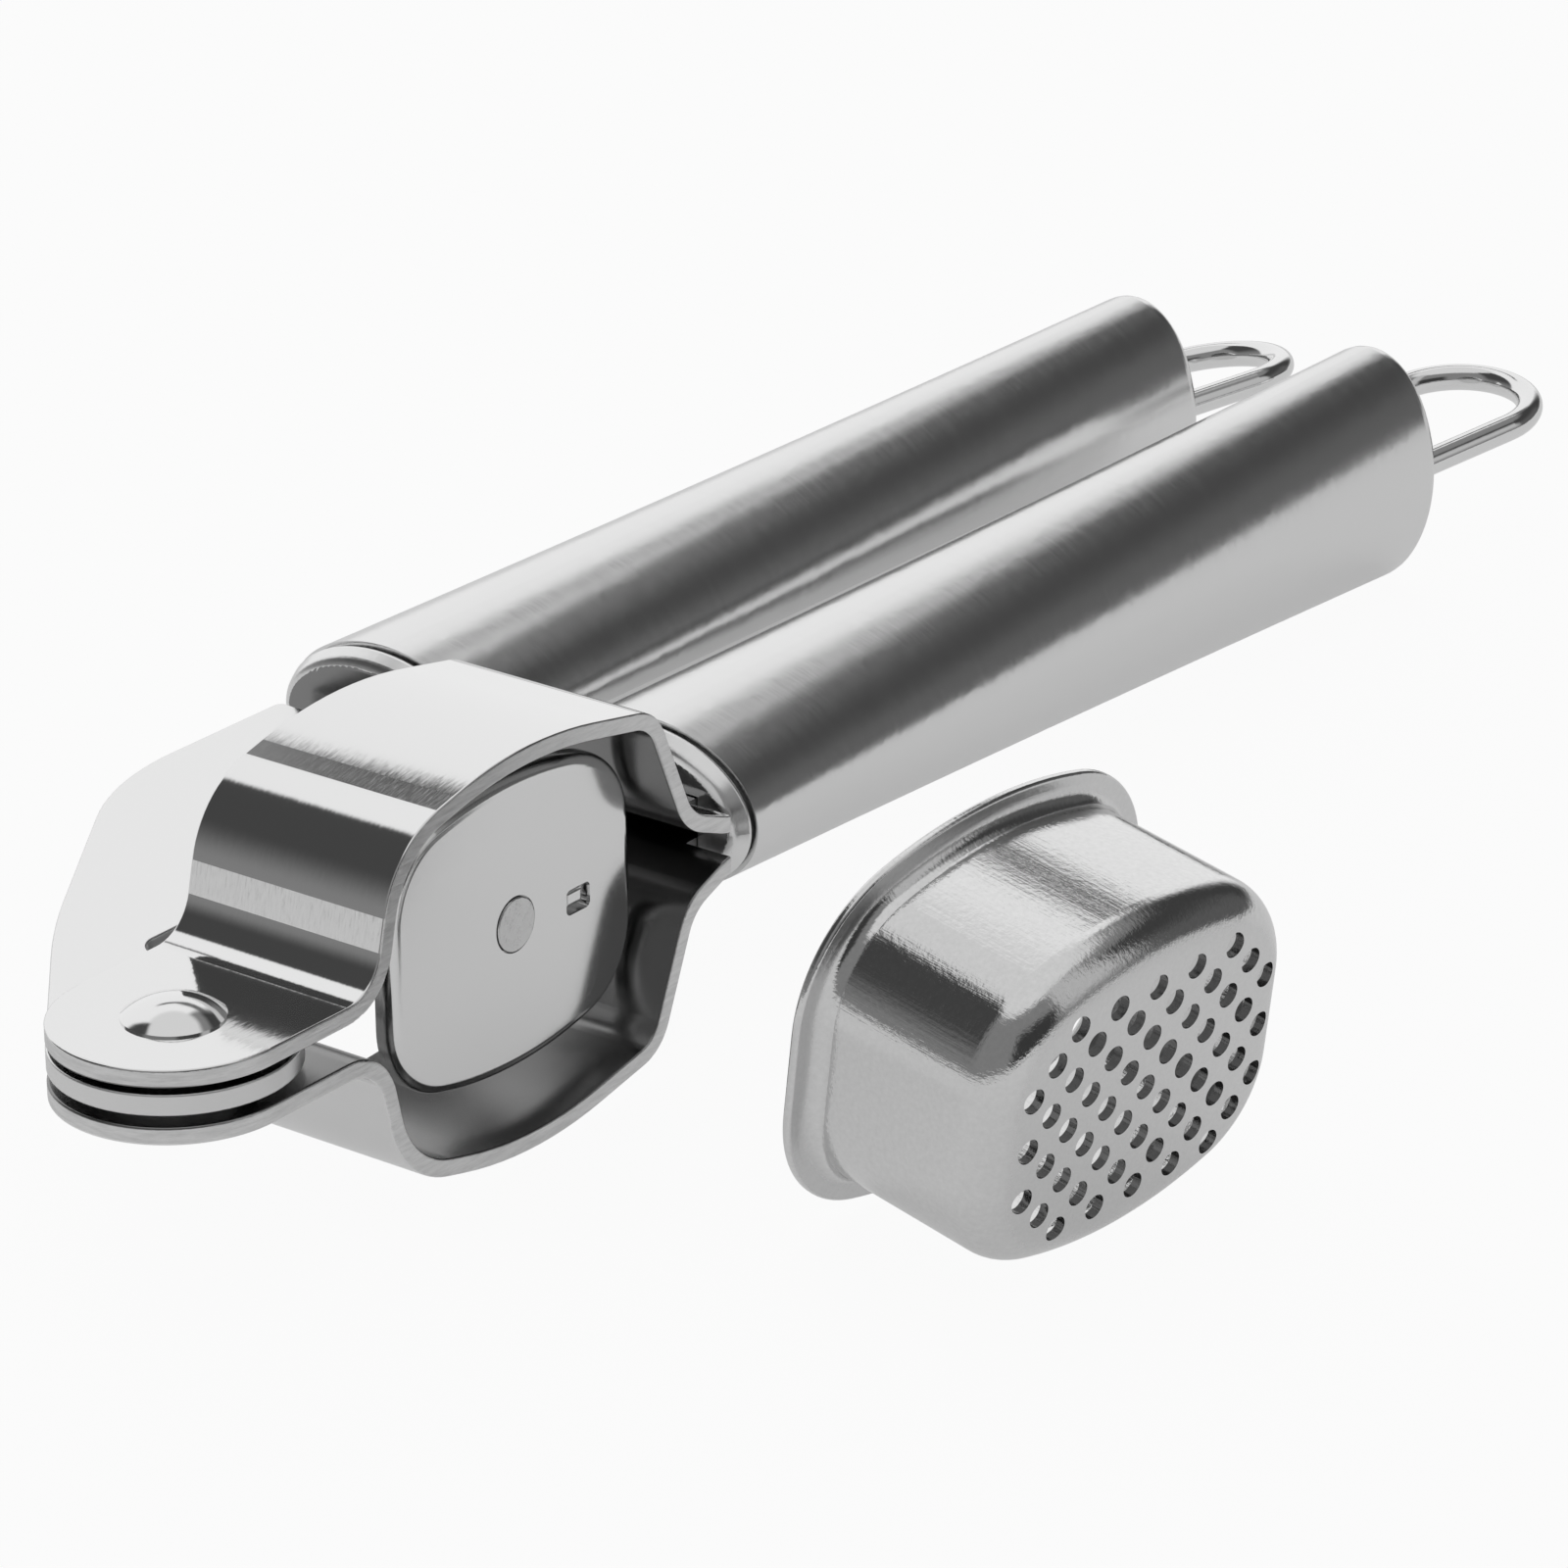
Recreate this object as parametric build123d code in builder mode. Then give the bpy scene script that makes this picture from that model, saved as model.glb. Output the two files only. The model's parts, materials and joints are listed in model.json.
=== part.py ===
from build123d import *
from math import asin, atan2, cos, degrees, hypot, pi, radians, sin, sqrt, tan
import os

# Garlic press of stainless steel, lying on a table with its basket taken out and put down beside it.
# All sizes are in millimetres and degrees. The press lies on its side: its own frame has the pivot rivet
# along its z, the handles along its x, and pushes the garlic out along its minus y.

# Strips: two bent bands, mirror twins, that make the ring round the basket
strip_width = 19.6
strip_thick = 1.5
strip_edge_round = 0.2
nose_half_stack = 3.1
tab_half_stack = 2.5
riser_foot_x = 12.0
riser_top_x = 14.6
riser_top_z = 14.2
roof_peak_x = 30.5
roof_peak_z = 18.1
roof_end_x = 47.1
roof_end_z = 14.9
descent_foot_x = 51.6
descent_foot_z = 4.3
riser_foot_round = 4.0
riser_top_round = 9.0
roof_round = 40.0
roof_end_round = 4.5
descent_foot_round = 4.0
tab_round = 4.0

# Pivot: one rivet with a low domed head at each end, and a washer on each side of the arm plate
pivot_shank_radius = 2.5
pivot_head_radius = 4.1
pivot_head_height = 1.6
pivot_head_rim = 0.15
washer_radius = 6.0
running_clearance = 0.05
washer_play = 0.05

# Arm plate: flat lever between the strips, carrying the plunger and the second handle
arm_thick = 1.8
arm_mid_z = 0.2
arm_bow_x = 10.0
arm_bow_y = 21.8
arm_bow_round = 80.0
arm_shoulder_x = 34.9
arm_shoulder_y = 38.3
arm_shoulder_round = 25.0
arm_heel_y = 19.3
arm_throat_x = 11.4
arm_throat_y = 14.0
arm_throat_round = 2.0
arm_throat_angle = 20.0
arm_lobe_half_width = 9.0
arm_corner_round = 0.8
arm_edge_round = 0.2

# Plunger: shallow pan, riveted to a bracket that swivels on a pin through the arm plate
plunger_x = 33.8
plunger_face_y = -5.7
plunger_half_width = 15.0
plunger_half_height = 12.6
plunger_corner_round = 7.5
plunger_depth = 1.9
plunger_sheet = 1.2
plunger_edge_round = 1.1
plunger_bow_radius = 38.0
hinge_pin_y = 2.8
hinge_pin_radius = 1.9
hinge_pin_head_radius = 2.7
hinge_pin_head_height = 0.6
hinge_eye_radius = 4.0
bracket_sheet = 1.2
bracket_reach = 10.4
bracket_back_reach = 5.2
bracket_ear_half_width = 4.2
bracket_ear_play = 0.15
bracket_half_height = 4.6
plunger_rivet_radius = 2.3
plunger_rivet_gap = 0.1
plunger_rivet_shank = 1.5
plunger_rivet_proud = 0.15
plunger_rivet_sink = 0.7
plunger_rivet_tail_radius = 2.1
plunger_rivet_tail_sink = 0.5
window_x = 7.9
window_z = -0.6
window_width = 3.0
window_height = 2.2
window_round = 0.5
window_tab_gap = 0.4
window_tab_sunk = 0.4
window_tab_round = 0.4

# Handles: round tube pressed to a lying oval in front and to a standing oval at the closed rear end
handle_length = 106.4
handle_front_half_width = 11.3
handle_front_half_height = 7.1
handle_rear_half_width = 7.3
handle_rear_half_height = 11.4
handle_wall = 0.9
handle_shoulder_round = 1.8
frame_handle_x = 58.1
frame_handle_y = 1.35
frame_handle_yaw = -2.3
arm_handle_x = 57.4
arm_handle_y = 29.22
arm_handle_yaw = -3.4

# Front caps: plugs with a tapered, rounded band in front of each tube, slotted for the tabs
cap_band_length = 1.9
cap_taper = 1.1
cap_front_round = 1.2
cap_seam_round = 0.35
cap_seam = 0.3
cap_thick = 2.6
cap_skirt_length = 5.0
cap_skirt_width = 2.2
tang_half_width = 5.2
tang_length = 12.0
tang_clearance = 0.1
tang_setback = 1.7

# Hanging loops: bent wire that leaves the rear end at a slight rise, anchored in a plug inside the tube
wire_radius = 1.25
loop_round = 7.0
loop_neck = 4.5
frame_loop_reach = 20.1
frame_loop_angle = 5.7
frame_loop_twist = 0.0
arm_loop_reach = 17.5
arm_loop_angle = 1.0
arm_loop_twist = -10.0
anchor_length = 5.0
anchor_floor = 1.8

# Basket: drawn cup with a flange and a perforated bottom
basket_half_width = 17.5
basket_half_height = 14.2
basket_bow_radius = 39.0
basket_corner_round = 9.4
basket_depth = 18.9
basket_sheet = 0.8
basket_bottom_round = 4.0
flange_width = 2.4
flange_root_round = 1.4
flange_rim_round = 0.3
hole_radius = 1.05
hole_step = 2.26
hole_rows = (5, 6, 7, 6, 7, 6, 7, 6, 5)
basket_yaw = -5.7
basket_face_x = 43.8
basket_face_y = -58.9

# Where the middle of the whole lies on the table, measured from the pivot
middle_x = 87.82
middle_y = -10.55


def settle(front, front_round, rear, rear_round):
    """Pitch that lowers the far end, and height of the origin, for two round edges resting on the table."""
    along = rear[0] - front[0]
    drop = front[1] - rear[1]
    pitch = asin((front_round - rear_round) / hypot(along, drop)) - atan2(drop, along)
    height = front[0] * sin(pitch) - front[1] * cos(pitch) + front_round
    return degrees(pitch), height


def corner_centre(before, corner, after, radius):
    """Centre of the arc that rounds a corner of a polyline."""
    back = (Vector(before) - Vector(corner)).normalized()
    ahead = (Vector(after) - Vector(corner)).normalized()
    half_angle = radians(back.get_angle(ahead)) / 2
    return Vector(corner) + (back + ahead).normalized() * (radius / sin(half_angle))


# The outer line of the upper strip, from the nose to the tab, in the press's x and z
nose_radius = strip_width / 2
strip_end_x = frame_handle_x - tang_setback
strip_line = [
    (-nose_radius, nose_half_stack),
    (riser_foot_x, nose_half_stack),
    (riser_top_x, riser_top_z),
    (roof_peak_x, roof_peak_z),
    (roof_end_x, roof_end_z),
    (descent_foot_x, descent_foot_z),
    (strip_end_x, tab_half_stack),
    (frame_handle_x + tang_length, tab_half_stack),
]
strip_rounds = [riser_foot_round, riser_top_round, roof_round, roof_end_round, descent_foot_round, tab_round]

# How the press lies: on the lower strip's roof and the rear end of the frame handle
roof_arc = corner_centre(strip_line[2], strip_line[3], strip_line[4], roof_round)
shoulder_along = handle_length - handle_shoulder_round
rear_slope = atan2(handle_rear_half_height - handle_front_half_height, handle_length)
shoulder_arc = (
    frame_handle_x + shoulder_along * cos(radians(frame_handle_yaw)),
    handle_shoulder_round / cos(rear_slope) - handle_front_half_height - shoulder_along * tan(rear_slope),
)
press_pitch, press_height = settle(
    (roof_arc.X, -roof_arc.Y), roof_round, shoulder_arc, handle_shoulder_round
)
press = Plane(
    origin=(-middle_x, -middle_y, press_height),
    x_dir=(cos(radians(press_pitch)), 0, -sin(radians(press_pitch))),
    z_dir=(sin(radians(press_pitch)), 0, cos(radians(press_pitch))),
)


def level(z):
    """Plane parallel to the press's middle plane, seen along the pivot."""
    return press.offset(z)


def upright(x, y, z=0.0, yaw=0.0):
    """Plane standing on the press's middle plane: its x runs along the yaw, its y up the pivot."""
    along = press.x_dir * cos(radians(yaw)) + press.y_dir * sin(radians(yaw))
    return Plane(origin=press.from_local_coords((x, y, z)), x_dir=along, z_dir=along.cross(press.z_dir))


def barrel(plane, half_width, half_height, bow_radius, corner_round):
    """Outline with straight sides, a bowed top and bottom and rounded corners, on a plane of its own."""
    side_height = half_height - bow_radius + sqrt(bow_radius**2 - half_width**2)
    with BuildSketch(plane) as outline:
        with BuildLine():
            ThreePointArc((-half_width, side_height), (0, half_height), (half_width, side_height))
            Line((half_width, side_height), (half_width, -side_height))
            ThreePointArc((half_width, -side_height), (0, -half_height), (-half_width, -side_height))
            Line((-half_width, -side_height), (-half_width, side_height))
        make_face()
        fillet(outline.vertices(), corner_round)
    return outline.sketch


def finish(builder, name):
    """Label a finished piece and write it out."""
    builder.part.label = name
    export_step(builder.part, f"parts/{name}.step")


os.makedirs("parts", exist_ok=True)

# Strips
with BuildSketch(press) as strip_plan:
    with Locations((strip_end_x / 2, 0)):
        Rectangle(strip_end_x, strip_width)
    Circle(nose_radius)
    with Locations((strip_end_x + (tang_length + tang_setback) / 2, 0)):
        Rectangle(tang_length + tang_setback, 2 * tang_half_width)

for name, side in (("upper_strip", 1), ("lower_strip", -1)):
    with BuildPart() as strip:
        with BuildSketch(upright(0, 0)):
            with BuildLine():
                outer = FilletPolyline(*[(x, side * z) for x, z in strip_line], radius=strip_rounds)
                offset(outer, strip_thick, side=Side.RIGHT if side > 0 else Side.LEFT, mode=Mode.ADD)
            make_face()
        extrude(amount=strip_width / 2, both=True)
        extrude(strip_plan.sketch, amount=roof_peak_z, both=True, mode=Mode.INTERSECT)
        with BuildSketch(press):
            Circle(pivot_shank_radius)
        extrude(amount=side * 2 * nose_half_stack, mode=Mode.SUBTRACT)
        nose_arcs = strip.edges().filter_by(GeomType.CIRCLE).sort_by(Axis(press.origin, press.x_dir))[:2]
        fillet(nose_arcs, strip_edge_round)
    finish(strip, name)

# Pivot rivet and washers
with BuildPart() as pivot_rivet:
    with BuildSketch(upright(0, 0)):
        with BuildLine():
            head_top = nose_half_stack + pivot_head_height
            rim_top = nose_half_stack + pivot_head_rim
            Line((0, -head_top), (0, head_top))
            TangentArc((0, head_top), (pivot_head_radius, rim_top), tangent=(1, 0))
            Polyline(
                (pivot_head_radius, rim_top),
                (pivot_head_radius, nose_half_stack),
                (pivot_shank_radius, nose_half_stack),
                (pivot_shank_radius, -nose_half_stack),
                (pivot_head_radius, -nose_half_stack),
                (pivot_head_radius, -rim_top),
            )
            TangentArc((0, -head_top), (pivot_head_radius, -rim_top), tangent=(1, 0))
        make_face()
    revolve(axis=Axis(press.origin, press.z_dir))
finish(pivot_rivet, "pivot_rivet")

washer_ends = {
    "upper_pivot_washer": (arm_mid_z + arm_thick / 2 + washer_play, nose_half_stack - strip_thick),
    "lower_pivot_washer": (strip_thick - nose_half_stack, arm_mid_z - arm_thick / 2 - washer_play),
}
for name, (bottom_z, top_z) in washer_ends.items():
    with BuildPart() as washer:
        with BuildSketch(level(bottom_z)):
            Circle(washer_radius)
            Circle(pivot_shank_radius, mode=Mode.SUBTRACT)
        extrude(amount=top_z - bottom_z)
    finish(washer, name)

# Handles: both axes lie in the press's middle plane
handle_planes = {
    "frame": upright(frame_handle_x, frame_handle_y, 0, frame_handle_yaw),
    "arm": upright(arm_handle_x, arm_handle_y, 0, arm_handle_yaw),
}
tang_planes = {"frame": upright(frame_handle_x, 0), "arm": handle_planes["arm"]}
tang_stack = {
    "frame": (-tab_half_stack, tab_half_stack),
    "arm": (arm_mid_z - arm_thick / 2, arm_mid_z + arm_thick / 2),
}
tube_front = cap_band_length + cap_seam
tube_floor = handle_length - handle_wall


def across(plane, along):
    """Plane square across a handle at a distance from its front: x to the side, y up the pivot."""
    return Plane(origin=plane.from_local_coords((along, 0, 0)), x_dir=-plane.z_dir, z_dir=plane.x_dir)


def oval(plane, along, inset=0.0):
    """Section of a handle at a distance from its front, drawn in from its surface by the inset."""
    share = along / handle_length
    half_width = handle_front_half_width + (handle_rear_half_width - handle_front_half_width) * share - inset
    half_height = handle_front_half_height + (handle_rear_half_height - handle_front_half_height) * share - inset
    with BuildSketch(across(plane, along)) as section:
        with BuildLine():
            for start in (0, 90, 180, 270):
                EllipticalCenterArc((0, 0), half_width, half_height, start, arc_size=90)
        make_face()
    return section.sketch


def stretch(plane, front, rear, inset=0.0):
    """Length of a handle between two distances from its front, drawn in from its surface by the inset."""
    loft([oval(plane, front, inset), oval(plane, rear, inset)], ruled=True)


def loop_plane(plane, rise, twist):
    """Plane of a hanging loop, with its origin in the middle of the tube's rear end."""
    rear = Plane(plane.from_local_coords((handle_length, 0, 0)), x_dir=plane.x_dir, z_dir=plane.y_dir)
    return rear.rotated((0, -rise, 0)).rotated((twist, 0, 0))


def loop_path(reach):
    """Middle line of a hanging loop: two straight legs that open from the neck into a round end."""
    centre_x = reach - loop_round
    lean = asin(loop_round / hypot(centre_x, loop_neck)) - atan2(loop_neck, centre_x)
    start_x = anchor_floor - handle_wall - anchor_length
    start = (start_x, loop_neck + start_x * tan(lean))
    touch = (centre_x - loop_round * sin(lean), loop_round * cos(lean))
    far_start, far_touch = [(x, -y) for x, y in (start, touch)]
    Line(start, touch)
    ThreePointArc(touch, (reach, 0), far_touch)
    Line(far_touch, far_start)


loop_planes = {
    "frame": loop_plane(handle_planes["frame"], frame_loop_angle, frame_loop_twist),
    "arm": loop_plane(handle_planes["arm"], arm_loop_angle, arm_loop_twist),
}
loop_reaches = {"frame": frame_loop_reach, "arm": arm_loop_reach}

for name, plane in handle_planes.items():
    axis = Axis(plane.origin, plane.x_dir)

    with BuildPart() as loop:
        with BuildLine(loop_planes[name]) as wire:
            loop_path(loop_reaches[name])
        bend = wire.wire()
        with BuildSketch(Plane(origin=bend @ 0, z_dir=bend % 0)):
            Circle(wire_radius)
        sweep(path=bend)
    finish(loop, f"{name}_loop")

    with BuildPart() as bore:
        stretch(plane, tube_front, tube_floor, handle_wall)
        fillet(bore.faces().sort_by(axis)[-1].edges(), handle_shoulder_round - handle_wall)

    with BuildPart() as tube:
        stretch(plane, tube_front, handle_length)
        fillet(tube.faces().sort_by(axis)[-1].edges(), handle_shoulder_round)
        add(bore.part, mode=Mode.SUBTRACT)
        add(loop.part, mode=Mode.SUBTRACT)
    finish(tube, f"{name}_handle_tube")

    with BuildPart() as anchor:
        stretch(plane, tube_floor - anchor_length, tube_floor, handle_wall)
        fillet(anchor.faces().sort_by(axis)[-1].edges(), handle_shoulder_round - handle_wall)
        add(loop.part, mode=Mode.SUBTRACT)
    finish(anchor, f"{name}_loop_anchor")

    with BuildPart() as cap:
        loft([oval(plane, 0, cap_taper), oval(plane, cap_band_length)], ruled=True)
        fillet(cap.faces().sort_by(axis)[0].edges(), cap_front_round)
        fillet(cap.faces().sort_by(axis)[-1].edges(), cap_seam_round)
        skirt_end = tube_front + cap_skirt_length
        stretch(plane, cap_band_length, skirt_end, handle_wall)
        with BuildPart(mode=Mode.SUBTRACT):
            stretch(plane, cap_thick, skirt_end, cap_skirt_width)
        low_z, high_z = tang_stack[name]
        with BuildSketch(across(tang_planes[name], 0)):
            with Locations((0, (low_z + high_z) / 2)):
                Rectangle(2 * (tang_half_width + tang_clearance), high_z - low_z + 2 * tang_clearance)
        extrude(amount=tang_length, both=True, mode=Mode.SUBTRACT)
    finish(cap, f"{name}_front_cap")

# Arm plate: outline from the nose along the outer edge, down the handle end, and back past the plunger lobe
arm_lean = atan2(arm_bow_y, arm_bow_x) - asin(nose_radius / hypot(arm_bow_x, arm_bow_y))
arm_touch = (-nose_radius * sin(arm_lean), nose_radius * cos(arm_lean))
throat_lean = radians(arm_throat_angle)
throat_start = (nose_radius * cos(throat_lean), nose_radius * sin(throat_lean))
nose_far = (throat_lean + arm_lean + pi / 2) / 2 + pi
lobe_tip_y = hinge_pin_y - hinge_eye_radius


def arm_end_x(y):
    """Where the plate stops, square to the handle and just short of its cap."""
    return arm_handle_x - tang_setback - (y - arm_handle_y) * tan(radians(arm_handle_yaw))


with BuildPart() as arm_plate:
    with BuildSketch(level(arm_mid_z - arm_thick / 2)):
        with BuildLine():
            FilletPolyline(
                arm_touch,
                (arm_bow_x, arm_bow_y),
                (arm_shoulder_x, arm_shoulder_y),
                (arm_end_x(arm_shoulder_y), arm_shoulder_y),
                (arm_end_x(arm_heel_y), arm_heel_y),
                (plunger_x + arm_lobe_half_width, arm_throat_y),
                (plunger_x + hinge_eye_radius, lobe_tip_y),
                (plunger_x - hinge_eye_radius, lobe_tip_y),
                (plunger_x - arm_lobe_half_width, arm_throat_y),
                (arm_throat_x, arm_throat_y),
                throat_start,
                radius=[arm_bow_round, arm_shoulder_round] + 2 * [arm_corner_round] + 5 * [arm_throat_round],
            )
            ThreePointArc(
                throat_start,
                (nose_radius * cos(nose_far), nose_radius * sin(nose_far)),
                arm_touch,
            )
        make_face()
        Circle(pivot_shank_radius + running_clearance, mode=Mode.SUBTRACT)
        with Locations((plunger_x, hinge_pin_y)):
            Circle(hinge_pin_radius + running_clearance, mode=Mode.SUBTRACT)
    extrude(amount=arm_thick)
    pivot_axis = Axis(press.origin, press.z_dir)
    flats = arm_plate.faces().filter_by(pivot_axis).sort_by(pivot_axis)
    fillet(flats[0].edges() + flats[-1].edges(), arm_edge_round)
    with BuildSketch(across(handle_planes["arm"], -2 * tang_setback)):
        with Locations((0, arm_mid_z)):
            Rectangle(2 * tang_half_width, arm_thick)
    extrude(amount=tang_length + 2 * tang_setback)
finish(arm_plate, "arm_plate")

# Plunger: its sketches stand on the middle plane, with x along the press and y up the pivot
plunger_face = upright(plunger_x, plunger_face_y)
seat_y = plunger_face_y + plunger_sheet
with BuildPart() as plunger_plate:
    pan = barrel(
        plunger_face, plunger_half_width, plunger_half_height, plunger_bow_radius, plunger_corner_round
    )
    extrude(pan, amount=-plunger_depth)
    front = plunger_plate.faces().sort_by(Axis(press.origin, press.y_dir))[0]
    fillet(front.edges(), plunger_edge_round)
    hollow = barrel(
        upright(plunger_x, seat_y),
        plunger_half_width - plunger_sheet,
        plunger_half_height - plunger_sheet,
        plunger_bow_radius - plunger_sheet,
        plunger_corner_round - plunger_sheet,
    )
    extrude(hollow, amount=-plunger_depth, mode=Mode.SUBTRACT)
    with BuildSketch(plunger_face):
        Circle(plunger_rivet_shank)
        with Locations((window_x, window_z)):
            RectangleRounded(window_width, window_height, window_round)
    extrude(amount=-2 * plunger_sheet, mode=Mode.SUBTRACT)
    with BuildSketch(plunger_face):
        Circle(plunger_rivet_radius + plunger_rivet_gap)
    extrude(amount=-plunger_rivet_sink, mode=Mode.SUBTRACT)
finish(plunger_plate, "plunger_plate")

ear_inner = arm_thick / 2 + bracket_ear_play
ear_outer = ear_inner + bracket_sheet
bracket_back_y = seat_y + bracket_sheet
with BuildPart() as plunger_bracket:
    with BuildSketch(upright(plunger_x, seat_y)):
        base_length = bracket_reach + bracket_back_reach
        with Locations(((bracket_reach - bracket_back_reach) / 2, arm_mid_z)):
            RectangleRounded(base_length, 2 * bracket_half_height, window_round)
        Circle(plunger_rivet_shank, mode=Mode.SUBTRACT)
    extrude(amount=-bracket_sheet)
    with BuildSketch(upright(plunger_x, bracket_back_y)):
        Circle(plunger_rivet_tail_radius)
    extrude(amount=plunger_rivet_tail_sink, mode=Mode.SUBTRACT)
    for low_z in (arm_mid_z + ear_inner, arm_mid_z - ear_outer):
        with BuildSketch(level(low_z)):
            with Locations((plunger_x, (bracket_back_y + hinge_pin_y) / 2)):
                Rectangle(2 * bracket_ear_half_width, hinge_pin_y - bracket_back_y)
            with Locations((plunger_x, hinge_pin_y)):
                Circle(bracket_ear_half_width)
                Circle(hinge_pin_radius, mode=Mode.SUBTRACT)
        extrude(amount=bracket_sheet)
    with BuildSketch(upright(plunger_x, seat_y)):
        with Locations((window_x, window_z)):
            Rectangle(window_width - 2 * window_tab_gap, window_height - 2 * window_tab_gap)
    extrude(amount=plunger_sheet - window_tab_sunk)
    tab_front = plunger_bracket.faces().sort_by(Axis(press.origin, press.y_dir))[0]
    fillet(tab_front.edges(), window_tab_round)
finish(plunger_bracket, "plunger_bracket")

with BuildPart() as plunger_rivet:
    with BuildSketch(upright(plunger_x, plunger_face_y - plunger_rivet_proud)):
        Circle(plunger_rivet_radius)
    extrude(amount=-(plunger_rivet_proud + plunger_rivet_sink))
    rivet_front = plunger_rivet.faces().sort_by(Axis(press.origin, press.y_dir))[0]
    fillet(rivet_front.edges(), plunger_rivet_proud)
    with BuildSketch(plunger_face):
        Circle(plunger_rivet_shank)
    extrude(amount=-(bracket_back_y - plunger_face_y))
    with BuildSketch(upright(plunger_x, bracket_back_y)):
        Circle(plunger_rivet_tail_radius)
    extrude(amount=plunger_rivet_tail_sink)
finish(plunger_rivet, "plunger_rivet")

with BuildPart() as hinge_pin:
    with BuildSketch(level(arm_mid_z)):
        with Locations((plunger_x, hinge_pin_y)):
            Circle(hinge_pin_radius)
    extrude(amount=ear_outer, both=True)
    for low_z in (arm_mid_z + ear_outer, arm_mid_z - ear_outer - hinge_pin_head_height):
        with BuildSketch(level(low_z)):
            with Locations((plunger_x, hinge_pin_y)):
                Circle(hinge_pin_head_radius)
        extrude(amount=hinge_pin_head_height)
finish(hinge_pin, "plunger_hinge_pin")

# Basket, settled on its flange rim and its bottom edge
basket_pitch, mouth_height = settle(
    (basket_sheet - flange_rim_round, flange_rim_round - basket_half_height - flange_width),
    flange_rim_round,
    (basket_depth - basket_bottom_round, basket_bottom_round - basket_half_height),
    basket_bottom_round,
)
outward = Vector(sin(radians(basket_yaw)), -cos(radians(basket_yaw)), 0)
basket_axis = outward * cos(radians(basket_pitch)) - Vector(0, 0, sin(radians(basket_pitch)))
mouth_place = Vector(basket_face_x - middle_x, basket_face_y - middle_y, 0) - basket_axis * basket_depth
mouth = Plane(
    origin=(mouth_place.X, mouth_place.Y, mouth_height),
    x_dir=(cos(radians(basket_yaw)), sin(radians(basket_yaw)), 0),
    z_dir=basket_axis,
)
basket_sizes = (basket_half_width, basket_half_height, basket_bow_radius, basket_corner_round)
bottom_first = Axis(mouth.origin, -mouth.z_dir)
with BuildPart() as cavity:
    inside = barrel(mouth, *[size - basket_sheet for size in basket_sizes])
    extrude(inside, amount=basket_depth - basket_sheet)
    fillet(cavity.faces().sort_by(bottom_first)[0].edges(), basket_bottom_round - basket_sheet)

with BuildPart() as basket:
    extrude(barrel(mouth, *basket_sizes), amount=basket_depth)
    fillet(basket.faces().sort_by(bottom_first)[0].edges(), basket_bottom_round)
    extrude(barrel(mouth, *[size + flange_width for size in basket_sizes]), amount=basket_sheet)
    add(cavity.part, mode=Mode.SUBTRACT)
    underside = basket.faces().filter_by(bottom_first).sort_by(bottom_first)[-2]
    fillet(underside.inner_wires()[0].edges(), flange_root_round)
    mouth_face = basket.faces().filter_by(bottom_first).sort_by(bottom_first)[-1]
    fillet(mouth_face.inner_wires()[0].edges(), flange_root_round + basket_sheet)
    underside, mouth_face = basket.faces().filter_by(bottom_first).sort_by(bottom_first)[-2:]
    fillet(underside.outer_wire().edges() + mouth_face.outer_wire().edges(), flange_rim_round)
    face_points = []
    for row, count in enumerate(hole_rows):
        height = (row - (len(hole_rows) - 1) / 2) * hole_step
        face_points += [((2 * i - count + 1) * hole_step, height) for i in range(count)]
    with BuildSketch(mouth.offset(basket_depth)):
        with Locations(*face_points):
            Circle(hole_radius)
    extrude(amount=-2 * basket_sheet, mode=Mode.SUBTRACT)
finish(basket, "basket")
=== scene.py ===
import json
from math import radians

import bpy
from mathutils import Matrix, Quaternion, Vector

# Garlic press of stainless steel, lying on a white table with its basket taken out.
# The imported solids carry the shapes; this script gives each its finish, and lights and frames them.
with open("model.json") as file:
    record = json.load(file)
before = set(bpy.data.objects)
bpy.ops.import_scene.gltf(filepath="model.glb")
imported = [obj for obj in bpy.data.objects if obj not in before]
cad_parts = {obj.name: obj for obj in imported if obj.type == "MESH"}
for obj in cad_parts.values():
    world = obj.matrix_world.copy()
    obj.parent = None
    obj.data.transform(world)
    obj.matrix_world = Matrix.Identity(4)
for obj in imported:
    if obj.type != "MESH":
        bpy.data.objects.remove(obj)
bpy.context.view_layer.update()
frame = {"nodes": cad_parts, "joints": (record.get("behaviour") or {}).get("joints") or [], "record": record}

MM = 0.001

# Where each handle's tube starts, in millimetres from the pivot, and its turn about the pivot's line
FRAME_TUBE_START = (58.1, 1.35)
FRAME_TUBE_YAW = -2.3
ARM_TUBE_START = (57.4, 29.22)
ARM_TUBE_YAW = -3.4

# The press's own frame: the pivot rivet along its z, the handles along its x
joints = {joint["name"]: joint for joint in frame["joints"]}
mounts = {mount["name"]: mount for mount in frame["record"]["mounts"]}
pivot_place = Vector(joints["arm_pivot"]["pos_m"])
pivot_line = Vector(joints["arm_pivot"]["axis"])
width_line = Vector((0, 1, 0))
handle_line = width_line.cross(pivot_line)
press_turn = Matrix((handle_line, width_line, pivot_line)).transposed()
frame_handle_turn = press_turn @ Matrix.Rotation(radians(FRAME_TUBE_YAW), 3, "Z")
arm_handle_turn = press_turn @ Matrix.Rotation(radians(ARM_TUBE_YAW), 3, "Z")

# The basket's own frame: its drawing direction, towards the holes, along its y
basket_place = Vector(mounts["basket_face"]["pos_m"])
draw_line = Vector(mounts["basket_face"]["axis"])
mouth_line = draw_line.cross((0, 0, 1)).normalized()
basket_turn = Matrix((mouth_line, draw_line, mouth_line.cross(draw_line))).transposed()


def press_point(x, y):
    """A point of the press's middle plane, in millimetres from the pivot, in the shared frame."""
    return pivot_place + press_turn @ (Vector((x, y, 0)) * MM)


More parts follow.
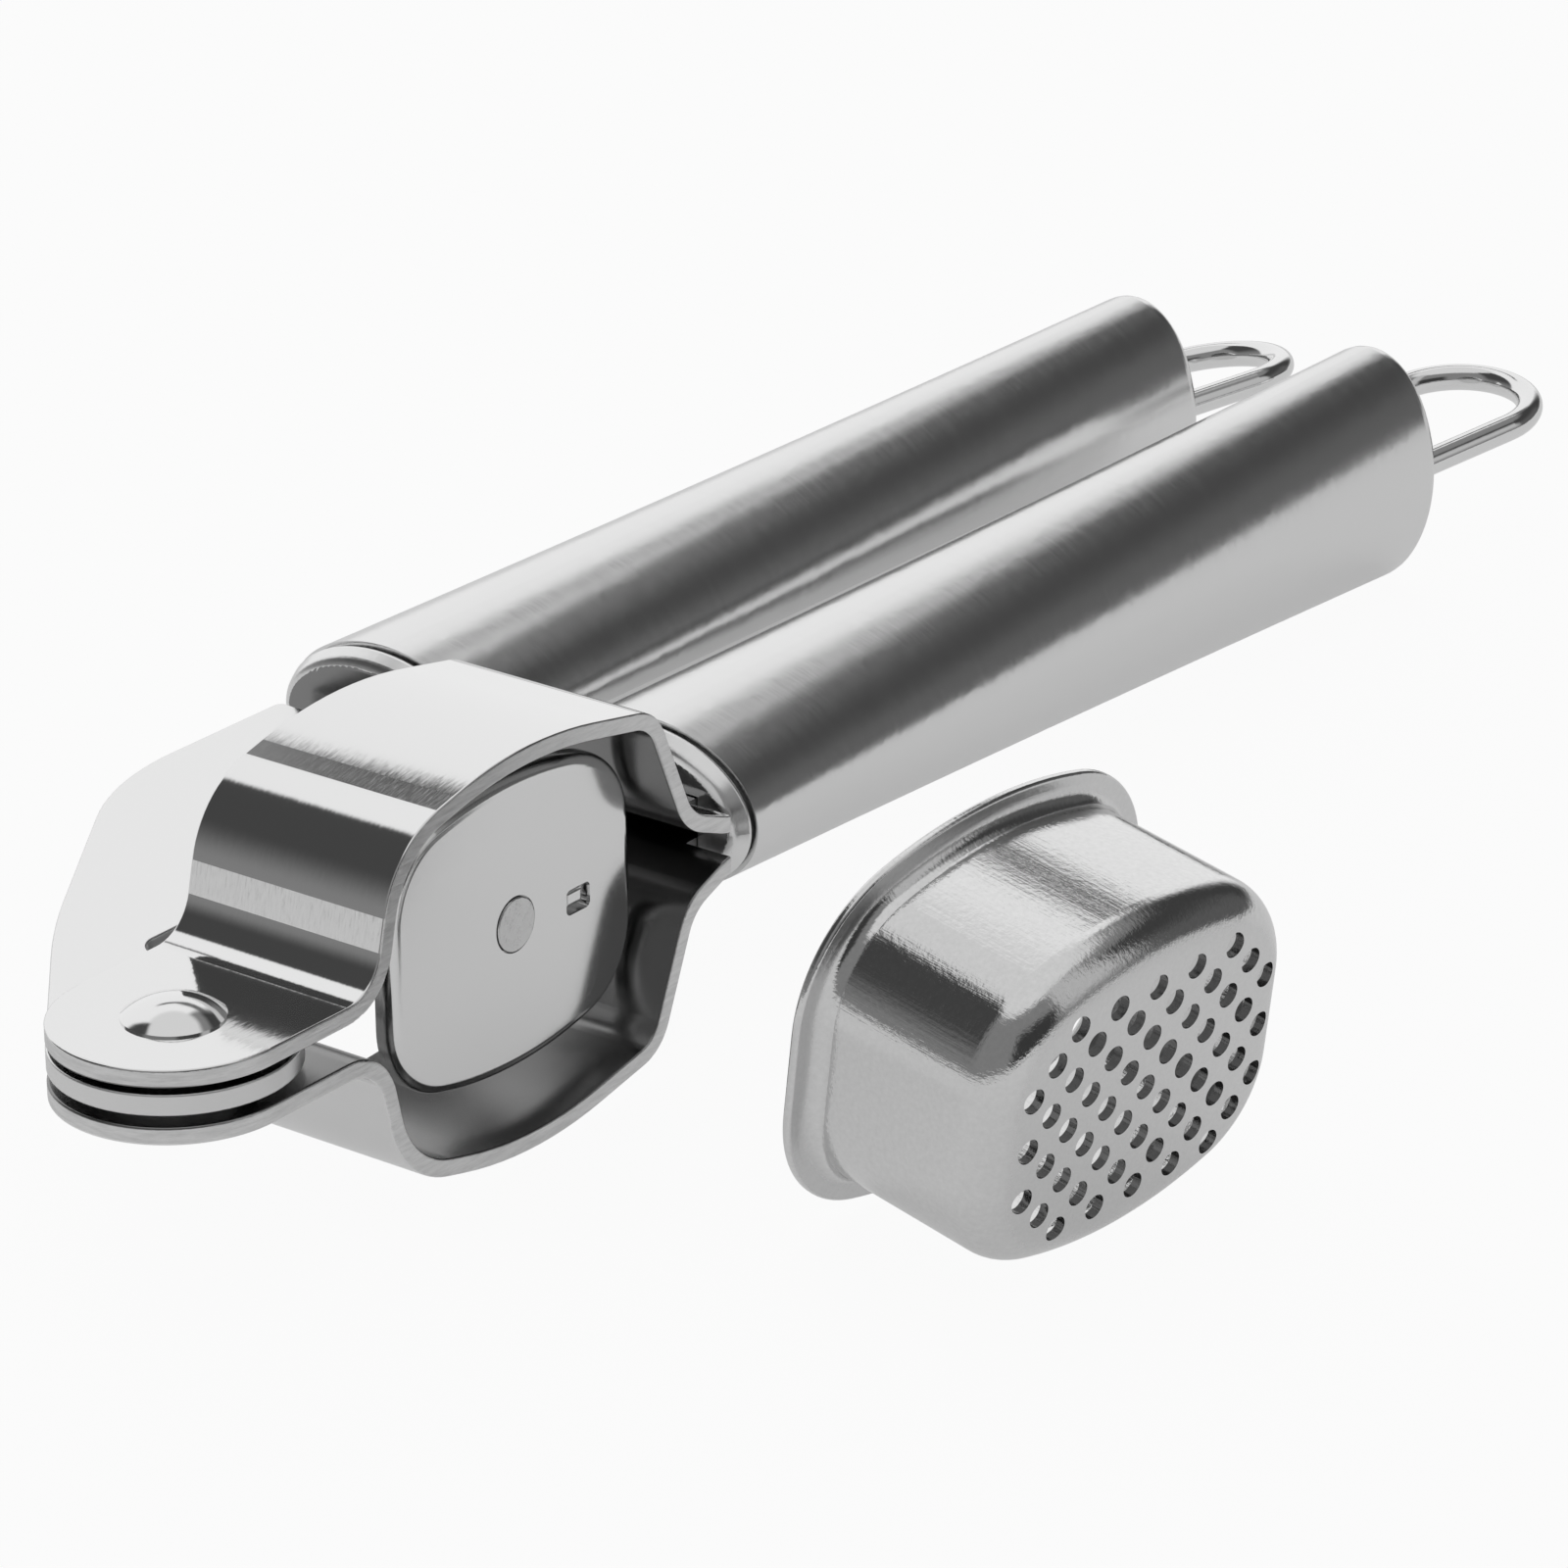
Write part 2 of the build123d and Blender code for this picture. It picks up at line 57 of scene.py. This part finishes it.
def linear(hex_colour):
    """sRGB hex to the linear colour that shaders take."""
    parts = [int(hex_colour[i : i + 2], 16) / 255 for i in (1, 3, 5)]
    return (*[c / 12.92 if c <= 0.04045 else ((c + 0.055) / 1.055) ** 2.4 for c in parts], 1.0)


BRIGHT_STEEL = linear("#E8E8E8")
SATIN_STEEL = linear("#D8D8D8")
TUBE_STEEL = linear("#E6E6E6")
# Dark steel colour: painted shade on the strips' inside faces and on the caps' end faces
SHADE_PAINTED_STEEL = linear("#8E8E8E")
TORN_STEEL = linear("#B4B4B4")
GRAIN_STEEL = linear("#D6D6D6")
# Dark colour for the basket's hole walls: painted shade inside the holes
HOLE_SHADE_STEEL = linear("#707070")
TABLE_PAINT = linear("#F4F4F4")
WHITE = linear("#FFFFFF")

# Where a Mix node keeps its share, its two inputs and its result, by kind of data
SHARE = 0
NUMBER_A, NUMBER_B = 2, 3
VECTOR_A, VECTOR_B, VECTOR_RESULT = 4, 5, 1
COLOUR_A, COLOUR_B, COLOUR_RESULT = 6, 7, 2

# Settings that carry a piece's own direction round with it when it moves
CARRIED = {"vector_type": "VECTOR", "convert_from": "OBJECT", "convert_to": "WORLD"}

# How deep a bump's full height is
FINE_BUMP = 0.1 * MM
HAMMER_BUMP = 0.2 * MM


def add(tree, kind, inputs=None, **settings):
    """Adds a node, sets what is named on it, and fills or links its inputs."""
    made = tree.nodes.new("ShaderNode" + kind)
    for name, value in settings.items():
        setattr(made, name, value)
    for socket, value in (inputs or {}).items():
        if isinstance(value, bpy.types.Node):
            value = value.outputs[0]
        if isinstance(value, bpy.types.NodeSocket):
            tree.links.new(value, made.inputs[socket])
        else:
            made.inputs[socket].default_value = value
    return made


def start(name):
    """A new material with an empty tree."""
    made = bpy.data.materials.new(name)
    made.use_nodes = True
    made.node_tree.nodes.clear()
    return made, made.node_tree


def finish(node_names, material):
    """Gives solids their finish."""
    for name in node_names:
        frame["nodes"][name].material_slots[0].material = material


def grain(tree, place, turn, size_mm, detail=2.0, roughness=0.5):
    """Cloudy grain that runs in a piece's own directions, with its grain sizes in millimetres."""
    coords = add(tree, "TexCoord")
    run = add(
        tree,
        "Mapping",
        {
            "Vector": coords.outputs["Object"],
            "Location": place,
            "Rotation": turn.to_euler(),
            "Scale": Vector(size_mm) * MM,
        },
        vector_type="TEXTURE",
    )
    return add(
        tree,
        "TexNoise",
        {"Vector": run, "Scale": 1.0, "Detail": detail, "Roughness": roughness},
    )


def reach_along(tree, place, direction):
    """How far a point of the piece lies from a place, measured along a direction."""
    coords = add(tree, "TexCoord")
    reach = add(tree, "VectorMath", {0: coords.outputs["Object"], 1: place}, operation="SUBTRACT")
    measure = add(tree, "VectorMath", {0: reach, 1: direction}, operation="DOT_PRODUCT")
    return measure.outputs["Value"]


def lean_along(tree, direction):
    """How far the surface faces along a direction, from -1 to 1."""
    coords = add(tree, "TexCoord")
    measure = add(
        tree, "VectorMath", {0: coords.outputs["Normal"], 1: direction}, operation="DOT_PRODUCT"
    )
    return measure.outputs["Value"]


def facing(tree, direction, low, high):
    """0 where the surface faces along a direction, either way, by less than low; 1 above high."""
    size = add(tree, "Math", {0: lean_along(tree, direction)}, operation="ABSOLUTE")
    return add(
        tree,
        "MapRange",
        {"Value": size, "From Min": low, "From Max": high},
        interpolation_type="SMOOTHSTEP",
    )


def combed(tree, lines, line_across, amount):
    """Normal rocked along buffing lines, each by its own bit, which combs out a reflection's edge."""
    surface = add(tree, "NewGeometry").outputs["Normal"]
    across = add(tree, "VectorTransform", {"Vector": line_across}, **CARRIED)
    run = add(tree, "VectorMath", {0: surface, 1: across}, operation="CROSS_PRODUCT")
    rock = add(
        tree,
        "MapRange",
        {"Value": lines, "From Min": 0.2, "From Max": 0.8, "To Min": -amount, "To Max": amount},
    )
    tilt = add(tree, "VectorMath", {0: run, "Scale": rock}, operation="SCALE")
    tilted = add(tree, "VectorMath", {0: surface, 1: tilt}, operation="ADD")
    return add(tree, "VectorMath", {0: tilted}, operation="NORMALIZE")


def steel(tree, colour, roughness, normal=None, tangent=None, anisotropic=0.0):
    """Bare stainless steel, joined to the material's output."""
    inputs = {
        "Base Color": colour,
        "Metallic": 1.0,
        "Roughness": roughness,
        "Anisotropic": anisotropic,
    }
    if normal:
        inputs["Normal"] = normal
    if tangent:
        inputs["Tangent"] = tangent
    surface = add(tree, "BsdfPrincipled", inputs)
    add(tree, "OutputMaterial", {"Surface": surface})


def buffed_strip():
    """Stainless strip: mirror-buffed outside, duller from the mill inside and painted darker there as shade,
    with torn sheared edges.
    """
    material, tree = start("buffed_stainless_strip")
    # Buffing lines 0.2 mm apart, coarser than real so that they show, and 1.2 mm long
    lines = grain(tree, pivot_place, press_turn, (1.2, 0.2, 1.2), detail=3.0, roughness=0.6)
    # Shearing leaves torn streaks 0.4 mm high and 3 mm long
    torn = grain(tree, pivot_place, press_turn, (3.0, 3.0, 0.4), detail=3.0, roughness=0.7)
    # Sheared edges face sideways, or straight out round the nose
    sideways = facing(tree, width_line, 0.6, 0.85)
    level_faced = facing(tree, pivot_line, 0.08, 0.18)
    around = add(tree, "Math", {0: 1.0, 1: level_faced}, operation="SUBTRACT")
    sheared = add(tree, "Math", {0: sideways, 1: around}, operation="MAXIMUM")
    # Inside is the side that faces the press's middle plane
    side = reach_along(tree, pivot_place, pivot_line)
    lean = lean_along(tree, pivot_line)
    outward = add(tree, "Math", {0: side, 1: lean}, operation="MULTIPLY")
    inside = add(tree, "Math", {0: outward, 1: 0.0}, operation="LESS_THAN")
    mirror = add(tree, "Mix", {SHARE: inside, NUMBER_A: 0.08, NUMBER_B: 0.24}, data_type="FLOAT")
    matt = add(tree, "MapRange", {"Value": torn, "To Min": 0.2, "To Max": 0.5})
    gloss = add(tree, "Mix", {SHARE: sheared, NUMBER_A: mirror, NUMBER_B: matt}, data_type="FLOAT")
    # The inside faces take the dark steel colour: painted shade from the dark inside of the ring
    faces = add(
        tree, "Mix", {SHARE: inside, COLOUR_A: BRIGHT_STEEL, COLOUR_B: SHADE_PAINTED_STEEL}, data_type="RGBA"
    )
    streaks = add(tree, "Mix", {SHARE: torn, COLOUR_A: TORN_STEEL, COLOUR_B: WHITE}, data_type="RGBA")
    colour = add(
        tree,
        "Mix",
        {
            SHARE: sheared,
            COLOUR_A: faces.outputs[COLOUR_RESULT],
            COLOUR_B: streaks.outputs[COLOUR_RESULT],
        },
        data_type="RGBA",
    )
    rock = combed(tree, lines, width_line, 0.012)
    rough = add(tree, "Bump", {"Height": torn, "Strength": 0.4, "Distance": FINE_BUMP})
    normal = add(tree, "Mix", {SHARE: sheared, VECTOR_A: rock, VECTOR_B: rough}, data_type="VECTOR")
    steel(tree, colour.outputs[COLOUR_RESULT], gloss, normal.outputs[VECTOR_RESULT])
    return material


def flat_plate():
    """Stainless plate, ground flat and buffed: an even bright face with lines, and matt cut edges."""
    material, tree = start("ground_stainless_plate")
    # Grinding lines 0.25 mm apart, coarser than real so that they show, and 20 mm long
    lines = grain(tree, pivot_place, arm_handle_turn, (20, 0.25, 20), detail=3.0, roughness=0.6)
    face = facing(tree, pivot_line, 0.75, 0.95)
    gloss = add(tree, "MapRange", {"Value": face, "To Min": 0.4, "To Max": 0.16})
    steel(tree, BRIGHT_STEEL, gloss, combed(tree, lines, arm_handle_turn.col[1], 0.015))
    return material


def turned_polish():
    """Stainless, turned and buffed bright: a clean mirror with a slight cloud."""
    material, tree = start("turned_bright_stainless")
    # Clouds of 0.5 mm left by the buff
    cloud = grain(tree, pivot_place, press_turn, (0.5, 0.5, 0.5))
    gloss = add(tree, "MapRange", {"Value": cloud, "To Min": 0.05, "To Max": 0.13})
    steel(tree, BRIGHT_STEEL, gloss)
    return material


def pressed_cap():
    """Stainless cap, pressed and tumbled: rounded bright edges, with an end face painted darker as shade."""
    material, tree = start("tumbled_stainless_cap")
    # Dents of 0.8 mm left by tumbling
    dents = grain(tree, pivot_place, press_turn, (0.8, 0.8, 0.8))
    bumps = add(tree, "Bump", {"Height": dents, "Strength": 0.05, "Distance": FINE_BUMP})
    gloss = add(tree, "MapRange", {"Value": dents, "To Min": 0.18, "To Max": 0.3})
    # The end face stays flat up to its rounded rim, and takes a darker colour: painted shade
    surface = add(tree, "NewGeometry").outputs["True Normal"]
    ahead = add(tree, "VectorTransform", {"Vector": handle_line}, **CARRIED)
    lean = add(tree, "VectorMath", {0: surface, 1: ahead}, operation="DOT_PRODUCT")
    size = add(tree, "Math", {0: lean.outputs["Value"]}, operation="ABSOLUTE")
    flat = add(tree, "Math", {0: size, 1: 0.98}, operation="GREATER_THAN")
    normal = add(tree, "Mix", {SHARE: flat, VECTOR_A: bumps, VECTOR_B: surface}, data_type="VECTOR")
    # Painted shade: the flat end face gets the dark steel colour
    colour = add(
        tree, "Mix", {SHARE: flat, COLOUR_A: BRIGHT_STEEL, COLOUR_B: SHADE_PAINTED_STEEL}, data_type="RGBA"
    )
    steel(tree, colour.outputs[COLOUR_RESULT], gloss, normal.outputs[VECTOR_RESULT])
    return material


def brushed_tube(name, place, turn):
    """Stainless tube, brushed round and round: light spreads along the handle in soft bands."""
    material, tree = start(name)
    # Brush lines 0.2 mm apart, coarser than real so that they show, and about 6 mm long
    lines = grain(tree, place, turn, (0.2, 6, 6), detail=3.0, roughness=0.65)
    bumps = add(tree, "Bump", {"Height": lines, "Strength": 0.007, "Distance": FINE_BUMP})
    gloss = add(tree, "MapRange", {"Value": lines, "To Min": 0.15, "To Max": 0.27})
    lengthwise = add(tree, "VectorTransform", {"Vector": turn.col[0]}, **CARRIED)
    steel(tree, TUBE_STEEL, gloss, bumps, lengthwise, 0.5)
    return material


def satin_plate():
    """Stainless sheet with a satin finish: an even soft sheen, slightly clouded."""
    material, tree = start("satin_stainless_sheet")
    # Satin grit marks of 0.2 mm, coarser than real so that they show
    grit = grain(tree, pivot_place, press_turn, (0.2, 0.2, 0.2))
    bumps = add(tree, "Bump", {"Height": grit, "Strength": 0.01, "Distance": FINE_BUMP})
    gloss = add(tree, "MapRange", {"Value": grit, "To Min": 0.1, "To Max": 0.18})
    steel(tree, BRIGHT_STEEL, gloss, bumps)
    return material


def peened_rivet():
    """Stainless rivet, hammered flush: dull, with small dents and lighter scuffs."""
    material, tree = start("peened_stainless_rivet")
    # Hammer dents of 0.9 mm
    dents = grain(tree, pivot_place, press_turn, (0.9, 0.9, 0.9), detail=3.0, roughness=0.6)
    bumps = add(tree, "Bump", {"Height": dents, "Strength": 0.5, "Distance": HAMMER_BUMP})
    gloss = add(tree, "MapRange", {"Value": dents, "To Min": 0.15, "To Max": 0.35})
    steel(tree, SATIN_STEEL, gloss, bumps)
    return material


def drawn_basket():
    """Stainless sheet drawn deep: streaked walls, a duller, grained bottom and hole walls painted dark as
    shade.
    """
    material, tree = start("deep_drawn_stainless")
    # Die streaks 0.3 mm apart and 8 mm long on the walls
    streaks = grain(tree, basket_place, basket_turn, (0.3, 8, 0.3), detail=3.0, roughness=0.65)
    # Skin grain of 0.45 mm, coarser than real so that it shows
    skin = grain(tree, basket_place, basket_turn, (0.45, 0.45, 0.45), detail=3.0, roughness=0.6)
    both = add(tree, "Math", {0: streaks, 1: skin}, operation="ADD")
    bumps = add(tree, "Bump", {"Height": both, "Strength": 0.17, "Distance": FINE_BUMP})
    bottom = facing(tree, draw_line, 0.8, 0.97)
    dull = add(tree, "MapRange", {"Value": skin, "To Min": 0.24, "To Max": 0.4})
    bright = add(tree, "MapRange", {"Value": skin, "To Min": 0.03, "To Max": 0.13})
    gloss = add(tree, "Mix", {SHARE: bottom, NUMBER_A: bright, NUMBER_B: dull}, data_type="FLOAT")
    tone = add(
        tree, "Mix", {SHARE: skin, COLOUR_A: GRAIN_STEEL, COLOUR_B: BRIGHT_STEEL}, data_type="RGBA"
    )
    # Punched hole walls, painted dark as the shade inside the holes: within 1.2 mm of the bottom, and facing
    # across the drawing direction
    depth = reach_along(tree, basket_place, draw_line)
    shallow = add(tree, "Math", {0: depth, 1: -1.2 * MM}, operation="GREATER_THAN")
    lengthwise = facing(tree, draw_line, 0.3, 0.5)
    across = add(tree, "Math", {0: 1.0, 1: lengthwise}, operation="SUBTRACT")
    shaded_hole_walls = add(tree, "Math", {0: shallow, 1: across}, operation="MULTIPLY")
    colour = add(
        tree,
        "Mix",
        {SHARE: shaded_hole_walls, COLOUR_A: tone.outputs[COLOUR_RESULT], COLOUR_B: HOLE_SHADE_STEEL},
        data_type="RGBA",
    )
    steel(tree, colour.outputs[COLOUR_RESULT], gloss, bumps)
    return material


def polished_wire():
    """Stainless wire, drawn and polished: a small round mirror with drawing lines."""
    material, tree = start("polished_stainless_wire")
    # Drawing lines 0.2 mm apart, coarser than real so that they show, and 1.5 mm long
    lines = grain(tree, pivot_place, press_turn, (1.5, 0.2, 0.2))
    bumps = add(tree, "Bump", {"Height": lines, "Strength": 0.03, "Distance": FINE_BUMP})
    gloss = add(tree, "MapRange", {"Value": lines, "To Min": 0.05, "To Max": 0.12})
    steel(tree, BRIGHT_STEEL, gloss, bumps)
    return material


finish(["upper_strip", "lower_strip"], buffed_strip())
finish(["arm_plate"], flat_plate())
finish(
    [
        "pivot_rivet",
        "upper_pivot_washer",
        "lower_pivot_washer",
        "frame_loop_anchor",
        "arm_loop_anchor",
        "plunger_hinge_pin",
    ],
    turned_polish(),
)
finish(["frame_front_cap", "arm_front_cap"], pressed_cap())
finish(
    ["frame_handle_tube"],
    brushed_tube(
        "brushed_stainless_frame_tube", press_point(*FRAME_TUBE_START), frame_handle_turn
    ),
)
finish(
    ["arm_handle_tube"],
    brushed_tube("brushed_stainless_arm_tube", press_point(*ARM_TUBE_START), arm_handle_turn),
)
finish(["plunger_plate", "plunger_bracket"], satin_plate())
finish(["plunger_rivet"], peened_rivet())
finish(["basket"], drawn_basket())
finish(["frame_loop", "arm_loop"], polished_wire())

# Table: white to the eye and, in part, in the steel; the rest of its light is real and keeps the shadow
TABLE_HALF = 3.0
TABLE_CORNERS = [(-1, -1), (1, -1), (1, 1), (-1, 1)]
TABLE_WHITE_SEEN = 0.94
TABLE_WHITE_MIRRORED = 0.4
table_mesh = bpy.data.meshes.new("table")
table_mesh.from_pydata(
    [(x * TABLE_HALF, y * TABLE_HALF, 0) for x, y in TABLE_CORNERS], [], [(0, 1, 2, 3)]
)
table = bpy.data.objects.new("table", table_mesh)
bpy.context.scene.collection.objects.link(table)
table_white, tree = start("white_table")
rays = add(tree, "LightPath")
mirrored = add(
    tree,
    "Math",
    {0: rays.outputs["Is Glossy Ray"], 1: rays.outputs["Is Transmission Ray"]},
    operation="MAXIMUM",
)
shine = add(tree, "Math", {0: mirrored, 1: TABLE_WHITE_MIRRORED}, operation="MULTIPLY")
share = add(
    tree,
    "Math",
    {0: rays.outputs["Is Camera Ray"], 1: TABLE_WHITE_SEEN, 2: shine},
    operation="MULTIPLY_ADD",
)
paint = add(tree, "BsdfDiffuse", {"Color": TABLE_PAINT})
white = add(tree, "Emission", {"Color": WHITE, "Strength": 1.0})
blend = add(tree, "MixShader", {0: share, 1: paint, 2: white})
add(tree, "OutputMaterial", {"Surface": blend})
table_mesh.materials.append(table_white)

# Studio round the press: how bright it is by compass direction and height above the table, in degrees
# (name; brightness; from and to in compass; from and to in height, each with its soft edge)
STUDIO_BASE = 0.3
STUDIO = [
    ("screen_behind", 1.2, (12, 12), (92, 8), (-20, 10), (75, 10)),
    ("ceiling", 0.95, (-190, 2), (190, 2), (58, 8), (120, 10)),
    ("fill_right", 0.68, (-80, 10), (-54, 8), (12, 20), (62, 10)),
    ("gap_over_screen", 0.06, (16, 10), (56, 10), (38, 2), (41.5, 2)),
    ("gap_over_screen_end", 0.2, (2, 10), (34, 12), (36, 4), (44, 4)),
    ("dark_flag_right", 0.07, (-54, 10), (6, 10), (4, 10), (46, 8)),
    ("dark_flag_right_foot", 0.14, (-54, 10), (-12, 12), (4, 10), (24, 20)),
    ("dark_flag_left", 0.08, (94, 6), (152, 16), (18, 30), (61, 6)),
    ("dark_by_camera", 0.06, (-132, 14), (-78, 12), (-6, 12), (30, 14)),
]
world = bpy.data.worlds.new("studio")
bpy.context.scene.world = world
world.use_nodes = True
tree = world.node_tree
tree.nodes.clear()
outlook = add(tree, "TexCoord")
parts = add(tree, "SeparateXYZ", {0: outlook.outputs["Generated"]})
compass = add(tree, "Math", {0: parts.outputs["Y"], 1: parts.outputs["X"]}, operation="ARCTAN2")
height = add(tree, "Math", {0: parts.outputs["Z"]}, operation="ARCSINE")
angles = (compass, compass, height, height)
level = STUDIO_BASE
for name, brightness, *limits in STUDIO:
    share = 1.0
    for angle, (limit, soft), sign in zip(angles, limits, (1, -1, 1, -1)):
        ramp = add(
            tree,
            "MapRange",
            {
                "Value": angle,
                "From Min": radians(limit - sign * soft / 2),
                "From Max": radians(limit + sign * soft / 2),
            },
            interpolation_type="SMOOTHSTEP",
        )
        share = add(tree, "Math", {0: share, 1: ramp}, operation="MULTIPLY")
    level = add(
        tree,
        "Mix",
        {SHARE: share, NUMBER_A: level, NUMBER_B: brightness},
        data_type="FLOAT",
        label=name,
    )
sky = add(tree, "Background", {"Strength": level})
add(tree, "OutputWorld", {"Surface": sky})

# Camera, where the photograph was taken from
CAMERA_PLACE = (-0.419634, -0.307138, 0.250629)
CAMERA_VIEW = Vector((0.716071, 0.557502, -0.42004))
CAMERA_ROLL = radians(-2.1597)
camera_data = bpy.data.cameras.new("camera")
camera_data.sensor_width = 36.0
camera_data.lens = 155.25
camera_data.clip_start = 0.01
camera = bpy.data.objects.new("camera", camera_data)
bpy.context.scene.collection.objects.link(camera)
camera.location = CAMERA_PLACE
camera.rotation_mode = "QUATERNION"
roll = Quaternion((0, 0, 1), CAMERA_ROLL)
camera.rotation_quaternion = CAMERA_VIEW.to_track_quat("-Z", "Y") @ roll
bpy.context.scene.camera = camera
bpy.context.scene.view_settings.view_transform = "Standard"
